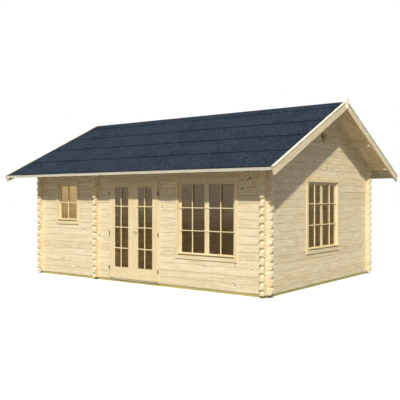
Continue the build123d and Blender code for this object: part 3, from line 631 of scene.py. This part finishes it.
def makeDoor():
    d = doorSettings
    casing = bmesh.new()
    for side in (-1, 1):
        ends = sorted((d["middle"] + side * d["casingIn"], d["middle"] + side * d["casingOut"]))
        addBoard(casing, (ends[0], d["casingFace"], d["foot"]), (ends[1], d["wallFace"], d["liningTop"]),
                 d["ease"], 1, alongLine(2, y=(d["casingFace"],)), d["casingEdge"])
    addBoard(casing, (d["middle"] - d["casingOut"], d["casingFace"], d["liningTop"]),
             (d["middle"] + d["casingOut"], d["wallFace"], d["casingTop"]),
             d["ease"], 0, alongLine(0, y=(d["casingFace"],)), d["casingEdge"])
    atSides = [(d["middle"] + side * (d["casingOut"] - d["screwIn"]), d["casingFace"], z)
               for side in (-1, 1) for z in d["screwHeights"]]
    overHead = [(d["middle"] + x, d["casingFace"], d["screwTop"]) for x in d["screwAcross"]]
    addScrews(casing, atSides + overHead, (0, -1, 0), 2)
    finishPiece(casing, "doorCasingBoards", "cabin", [joineryX, joineryZ, steel], ["door_casing"])
    for side, word in ((-1, "left"), (1, "right")):
        leaf, bars, beads = bmesh.new(), bmesh.new(), bmesh.new()

        def at(distance):
            # distances run from the middle of the door to the hinges
            return d["middle"] + side * distance

        def member(target, near, far, y0, y1, z0, z1, slotIndex, edge=0.0015, wide=None, wideEdge=0.0):
            ends = sorted((at(near), at(far)))
            addBoard(target, (ends[0], y0, z0), (ends[1], y1, z1), edge, slotIndex, wide, wideEdge)

        stiles = ((d["lipNear"], d["bodyNear"], d["glassNear"], d["glassNear"], d["glassNear"]),
                  (d["glassFar"], d["glassFar"], d["lipHalf"], d["bodyHalf"], d["glassFar"]))
        for lipIn, bodyIn, lipOut, bodyOut, glassSide in stiles:
            member(leaf, lipIn, lipOut, d["face"], d["lipBack"], d["leafFoot"], d["lipTop"], 1, 0.0015,
                   alongLine(2, y=(d["face"],), x=(at(glassSide),)), d["leafRound"])
            member(leaf, bodyIn, bodyOut, d["lipBack"], d["back"], d["leafFoot"], d["bodyTop"], 1)
        for lipFoot, lipTop, bodyTop, glassSide in ((d["leafFoot"], d["glassFoot"], d["glassFoot"], d["glassFoot"]),
                                                    (d["glassTop"], d["lipTop"], d["bodyTop"], d["glassTop"])):
            member(leaf, d["glassNear"], d["glassFar"], d["face"], d["lipBack"], lipFoot, lipTop, 0, 0.0015,
                   alongLine(0, y=(d["face"],), z=(glassSide,)), d["leafRound"])
            member(leaf, d["glassNear"], d["glassFar"], d["lipBack"], d["back"], lipFoot, bodyTop, 0)
        finishPiece(leaf, f"{word}LeafFrame", f"{word}_leaf", [joineryX, joineryZ], [f"{word}_door_leaf"])
        g0, g1, f0, f1, bead = d["glassNear"], d["glassFar"], d["glassFoot"], d["glassTop"], d["bead"]
        for y0, y1, edgeY in ((d["beadFace"], d["glassFace"], d["beadFace"]),
                              (d["glassBack"], d["beadBack"], d["beadBack"])):
            for a, b, free in twoEnds(g0, g1, bead):
                member(beads, a, b, y0, y1, f0, f1, 1, d["beadEase"], alongLine(2, y=(edgeY,), x=(at(free),)),
                       d["beadRound"])
            for a, b, free in twoEnds(f0, f1, bead):
                member(beads, g0 + bead, g1 - bead, y0, y1, a, b, 0, d["beadEase"],
                       alongLine(0, y=(edgeY,), z=(free,)), d["beadRound"])
        finishPiece(beads, f"{word}LeafBeads", f"{word}_leaf", [joineryX, joineryZ])
        front, thick, middle = d["face"] - d["barProud"], d["bar"] / 2, (g0 + g1) / 2
        member(bars, middle - thick, middle + thick, front, d["face"], f0 - d["barRun"], f1 + d["barRun"], 1,
               d["ease"], alongLine(2, y=(front,)), d["barRound"])
        levelFace = front - hair
        for z in d["bars"]:
            member(bars, g0 - d["levelRun"], g1 + d["levelRun"], levelFace, d["face"], z - thick, z + thick, 0,
                   d["ease"], alongLine(0, y=(levelFace,)), d["barRound"])
        finishPiece(bars, f"{word}LeafBars", f"{word}_leaf", [joineryX, joineryZ])


makeDoor()
print("door made")

# ---- roof and floor boards
roofSettings = {"halfLength": 3.277, "eave": 2.586, "apex": 3.33279, "slope": 0.4927, "rise": 0.05797, "boards": 68,
                "vee": 0.005, "ease": 0.0002}
floorSettings = {"low": 0.045, "high": 0.073, "halfDepth": 2.01, "boards": 35,
                 "rooms": ((-2.770, -1.120), (-1.040, 2.770)), "gap": 0.0006, "ease": 0.001, "vee": 0.002}


def makeDeckBoards():
    # boards from ridge to eave, with a small vee between them below, sheared to the slope
    r = roofSettings
    for side, word in slopes:
        deck = bmesh.new()
        shear = Matrix(((1, 0, 0, 0), (0, 1, 0, 0), (0, -side * r["slope"], 1, r["apex"]), (0, 0, 0, 1)))
        width = 2 * r["halfLength"] / r["boards"]
        for count in range(r["boards"]):
            x = -r["halfLength"] + count * width
            ends = sorted((0.0, side * r["eave"]))
            addBoard(deck, (x, ends[0], 0), (x + width, ends[1], r["rise"]), r["ease"], 0,
                     alongLine(1, z=(0.0,)), r["vee"], 1, shear)
        finishPiece(deck, f"{word}DeckBoards", "cabin", [deckBoard[side]], [f"{word}_roof_boards"])


def makeFloorBoards():
    f = floorSettings
    bm = bmesh.new()
    width = 2 * f["halfDepth"] / f["boards"]
    for near, far in f["rooms"]:
        for count in range(f["boards"]):
            y = -f["halfDepth"] + count * width
            addBoard(bm, (near, y, f["low"]), (far, y + width - f["gap"], f["high"]), f["ease"], 0,
                     alongLine(0, z=(f["high"],)), f["vee"], 1)
    finishPiece(bm, "floorPlanks", "cabin", [floorWood], ["floor_boards"])


makeDeckBoards()
makeFloorBoards()
print("roof and floor boards made")

# ---- lock plate, lever and hinges
lockSettings = {"x": -0.0405, "z": 1.0, "face": -2.115, "plateWidth": 0.036, "plateThickness": 0.006,
                "plateLow": 0.928, "plateHigh": 1.048, "cylinderDrop": 0.042, "cylinderRadius": 0.0085,
                "neckRadius": 0.0078, "neckStart": -2.1213, "neckEnd": -2.1545, "length": 0.104,
                "plateRound": 0.009, "inPlate": 0.004, "rim": 0.0018, "tongueHalf": 0.0045, "tongueFoot": 0.016,
                "tongueTop": 0.004, "tongueRound": 0.004, "plateEase": 0.0012, "tongueEase": 0.0008,
                "keyHalf": (0.0011, 0.005), "keyProud": (0.0022, 0.001), "keyEase": 0.0003, "screwIn": 0.012,
                "screwRadius": 0.004, "roseRadius": 0.0125, "roseProud": 0.0002, "straightEnd": 0.0078,
                "waist": (0.86, 1.12), "bend": 0.0031, "bendWide": 1.3, "bendDeep": 0.75, "bendSteps": 4,
                "gripStart": 0.0095,
                "grip": ((0.16, (1, 0.72, 1.12)), (0.30, (1, 0.9, 1.05)), (0.34, (1, 0.95, 0.96)),
                         (0.14, (1, 0.9, 0.9)), (0.06, (1, 0.7, 0.72)))}     # shares of the reach, with scales
hingeSettings = {"middle": -0.082, "reach": 0.630, "y": -2.123, "heights": (0.267, 0.938, 1.709), "radius": 0.007,
                 "length": 0.037, "gap": 0.0004, "pin": 0.0029, "pinReach": 0.020, "leafFace": -2.115,
                 "casingFace": -2.097, "barrelEdge": 0.0012, "pinEdge": 0.0004}


def addRod(target, start, end, radius, slotIndex=0, segments=20, edge=0.001):
    # a round rod between two points, with eased rims
    part = bmesh.new()
    start, end = Vector(start), Vector(end)
    bmesh.ops.create_cone(part, cap_ends=True, segments=segments, radius1=radius, radius2=radius,
                          depth=(end - start).length)
    rims = [e for e in part.edges if e.calc_face_angle(0) > radians(50)]
    bmesh.ops.bevel(part, geom=rims, offset=edge, offset_type="OFFSET", segments=2, profile=0.5,
                    affect="EDGES", material=-1, clamp_overlap=True)
    turn = Vector((0, 0, 1)).rotation_difference(end - start).to_matrix().to_4x4()
    bmesh.ops.transform(part, matrix=Matrix.Translation((start + end) / 2) @ turn, verts=part.verts)
    pour(part, target, slotIndex)


def makeLock():
    k = lockSettings
    plate = bmesh.new()
    low = (k["x"] - k["plateWidth"] / 2, k["face"] - k["plateThickness"], k["plateLow"])
    high = (k["x"] + k["plateWidth"] / 2, k["face"], k["plateHigh"])
    addBoard(plate, low, high, k["plateEase"], 0, alongLine(1, x=(low[0], high[0])), k["plateRound"], 4)
    # cylinder and the tongue below it, then the key's slot, a thin dark piece that is painted shade for the keyhole
    keyZ, inPlate, rim = k["z"] - k["cylinderDrop"], k["face"] - k["inPlate"], low[1] - k["rim"]
    addRod(plate, (k["x"], inPlate, keyZ), (k["x"], rim, keyZ), k["cylinderRadius"])
    addBoard(plate, (k["x"] - k["tongueHalf"], rim, keyZ - k["tongueFoot"]),
             (k["x"] + k["tongueHalf"], inPlate, keyZ - k["tongueTop"]),
             k["tongueEase"], 0, alongLine(1, z=(keyZ - k["tongueFoot"],)), k["tongueRound"], 3)
    (halfWide, halfHigh), (keyFace, keyBack) = k["keyHalf"], k["keyProud"]
    addBoard(plate, (k["x"] - halfWide, low[1] - keyFace, keyZ - halfHigh),
             (k["x"] + halfWide, low[1] - keyBack, keyZ + halfHigh), k["keyEase"], 1)
    heights = (k["plateLow"] + k["screwIn"], k["plateHigh"] - k["screwIn"])
    addScrews(plate, [(k["x"], low[1], z) for z in heights], (0, -1, 0), 0, k["screwRadius"])
    addRod(plate, (k["x"], inPlate, k["z"]), (k["x"], low[1] - k["roseProud"], k["z"]), k["roseRadius"], 0, 24)
    finishPiece(plate, "lockPlateSet", "right_leaf", [steel, keyholeShade], ["lock_plate"])
    lever = bmesh.new()
    bmesh.ops.create_circle(lever, cap_ends=True, radius=k["neckRadius"], segments=16)
    turn = Matrix.Translation((k["x"], k["neckStart"], k["z"])) @ Matrix.Rotation(pi / 2, 4, "X")
    bmesh.ops.transform(lever, matrix=turn, verts=lever.verts)
    tip = list(lever.faces)

    def pull(shift, scale=None, spin=None):
        # draws the end of the lever on by one step
        nonlocal tip
        grown = bmesh.ops.extrude_face_region(lever, geom=tip)["geom"]
        bmesh.ops.delete(lever, geom=tip, context="FACES_ONLY")
        verts = [v for v in grown if isinstance(v, bmesh.types.BMVert)]
        tip = [f for f in grown if isinstance(f, bmesh.types.BMFace)]
        bmesh.ops.translate(lever, vec=shift, verts=verts)
        middle = sum((v.co for v in verts), Vector()) / len(verts)
        if spin:
            bmesh.ops.rotate(lever, cent=middle, matrix=Matrix.Rotation(spin, 3, "Z"), verts=verts)
        if scale:
            bmesh.ops.translate(lever, vec=-middle, verts=verts)
            bmesh.ops.scale(lever, vec=scale, verts=verts)
            bmesh.ops.translate(lever, vec=middle, verts=verts)

    straight = k["neckStart"] - k["neckEnd"] - k["straightEnd"]
    for scale in k["waist"]:
        pull((0, -straight * 0.5, 0), (scale, 1, scale))
    turnStep = pi / 2 / k["bendSteps"]
    for step in range(k["bendSteps"]):
        angle = (step + 0.5) * turnStep
        pull((k["bend"] * sin(angle) * k["bendWide"], -k["bend"] * cos(angle) * k["bendDeep"], 0), None, turnStep)
    reach = k["length"] - k["gripStart"]
    for share, scale in k["grip"]:
        pull((reach * share, 0, 0), scale)
    bmesh.ops.recalc_face_normals(lever, faces=lever.faces)
    finishPiece(lever, "leverHandle", "lever", [steel], ["door_lever"], smooth=True)


def makeHinges():
    h = hingeSettings
    framePart = bmesh.new()
    for side, word in ((-1, "left"), (1, "right")):
        leafPart = bmesh.new()
        x = h["middle"] + side * h["reach"]
        for z in h["heights"]:
            up, down = z + h["gap"] / 2, z - h["gap"] / 2
            addRod(leafPart, (x, h["y"], up), (x, h["y"], up + h["length"]), h["radius"], 0, 20, h["barrelEdge"])
            addRod(framePart, (x, h["y"], down), (x, h["y"], down - h["length"]), h["radius"], 0, 20,
                   h["barrelEdge"])
            addRod(leafPart, (x - side * h["pinReach"], h["leafFace"], up + h["length"] / 2),
                   (x, h["y"], up + h["length"] / 2), h["pin"], 0, 12, h["pinEdge"])
            addRod(framePart, (x, h["casingFace"], down - h["length"] / 2),
                   (x, h["y"], down - h["length"] / 2), h["pin"], 0, 12, h["pinEdge"])
        finishPiece(leafPart, f"{word}LeafHinges", f"{word}_leaf", [darkSteel], [f"{word}_leaf_barrels"])
    finishPiece(framePart, "frameHinges", "cabin", [darkSteel], ["frame_barrels"])


makeLock()
makeHinges()
print("lock and hinges made")


# ---- camera, light and floor
def makeStage():
    s = {"place": (8.0716, -10.7633, 1.6399), "turn": (pi / 2 - 0.0007, 0.0, 0.6487), "lens": 56.02,
         "shift": -0.0062, "sunTravel": (-0.96, 1.4104, -1.30), "sunStrength": 3.4, "sunAngle": 2.0,
         "sunColor": (1.0, 0.975, 0.93), "sky": (0.33, 0.345, 0.37, 1.0), "mirrored": (1.0, 0.91, 0.82, 1.0),
         "behind": (0.20, 0.18, 0.14, 1.0), "roomPower": 11.5, "roomPlace": (-1.75, -0.9, 2.28),
         "roomTravel": (-0.5, -0.1, -1.0), "roomSize": 0.9, "roomColor": (0.86, 0.93, 1.0),
         "floorTone": 0.25, "floorGlow": 0.08, "glow": (0.92, 0.96, 1.0, 1.0), "nearFloor": (0.12, 0.10, 0.08, 1.0),
         "farFloor": (0.80, 0.67, 0.54, 1.0), "fade": (-12.0, -42.0), "floorSize": 90.0}
    camera = newObject("camera", bpy.data.cameras.new("camera"))
    camera.location, camera.rotation_euler = s["place"], s["turn"]
    camera.data.lens, camera.data.shift_y = s["lens"], s["shift"]
    camera.data.clip_end = 400.0
    bpy.context.scene.camera = camera
    sun = newObject("sun", bpy.data.lights.new("sun", "SUN"))
    sun.data.energy, sun.data.angle = s["sunStrength"], radians(s["sunAngle"])
    sun.data.color = s["sunColor"]
    sun.rotation_euler = Vector(s["sunTravel"]).to_track_quat("-Z", "Y").to_euler()
    # daylight in the side room, which the photo shows lighter than its one window makes it
    lamp = newObject("sideRoomLight", bpy.data.lights.new("sideRoomLight", "AREA"))
    lamp.data.energy, lamp.data.size = s["roomPower"], s["roomSize"]
    lamp.data.color = s["roomColor"]
    lamp.location = s["roomPlace"]
    lamp.rotation_euler = Vector(s["roomTravel"]).to_track_quat("-Z", "Y").to_euler()
    world = bpy.data.worlds.new("studio")
    world.use_nodes = True
    bpy.context.scene.world = world
    tree = world.node_tree
    tree.nodes.clear()
    path = tree.nodes.new("ShaderNodeLightPath").outputs
    seen = mathOf(tree, "MAXIMUM", path["Is Camera Ray"], path["Is Transmission Ray"])
    # the panes of the long front mirror more light than those of the gable
    ahead = addNode(tree, "ShaderNodeSeparateXYZ", {0: tree.nodes.new("ShaderNodeTexCoord").outputs["Generated"]})
    mirrored = mixOf(tree, rangeOf(tree, ahead.outputs[1], 0.25, -0.25), s["behind"], s["mirrored"])
    plain = mixOf(tree, path["Is Glossy Ray"], s["sky"], mirrored)
    shade = addNode(tree, "ShaderNodeBackground", {"Color": mixOf(tree, seen, plain, white)})
    tree.links.new(shade.outputs[0], tree.nodes.new("ShaderNodeOutputWorld").inputs[0])
    bm = bmesh.new()
    bmesh.ops.create_grid(bm, x_segments=2, y_segments=2, size=s["floorSize"])
    mesh = bpy.data.meshes.new("floor")
    bm.to_mesh(mesh)
    bm.free()
    floor = newObject("floor", mesh)
    made, tree, shader = startMaterial("paleFloor", 0.9, Specular_IOR_Level=0.0)
    path = tree.nodes.new("ShaderNodeLightPath").outputs
    seen = mathOf(tree, "MAXIMUM", path["Is Camera Ray"], path["Is Transmission Ray"])
    # in the panes the floor is pale far off and dark close by
    split = addNode(tree, "ShaderNodeSeparateXYZ", {0: objectVector(tree)}).outputs
    far = rangeOf(tree, split[1], *s["fade"])
    mirrored = mixOf(tree, far, s["nearFloor"], s["farFloor"])
    grey = s["floorTone"]
    plain = mixOf(tree, path["Is Glossy Ray"], (grey, grey, grey, 1.0), mirrored)
    tree.links.new(mixOf(tree, seen, plain, white), shader["Base Color"])
    shader["Emission Color"].default_value = s["glow"]
    glow = timesOf(tree, path["Is Camera Ray"], s["floorGlow"])
    tree.links.new(glow, shader["Emission Strength"])
    mesh.materials.append(made)


makeStage()
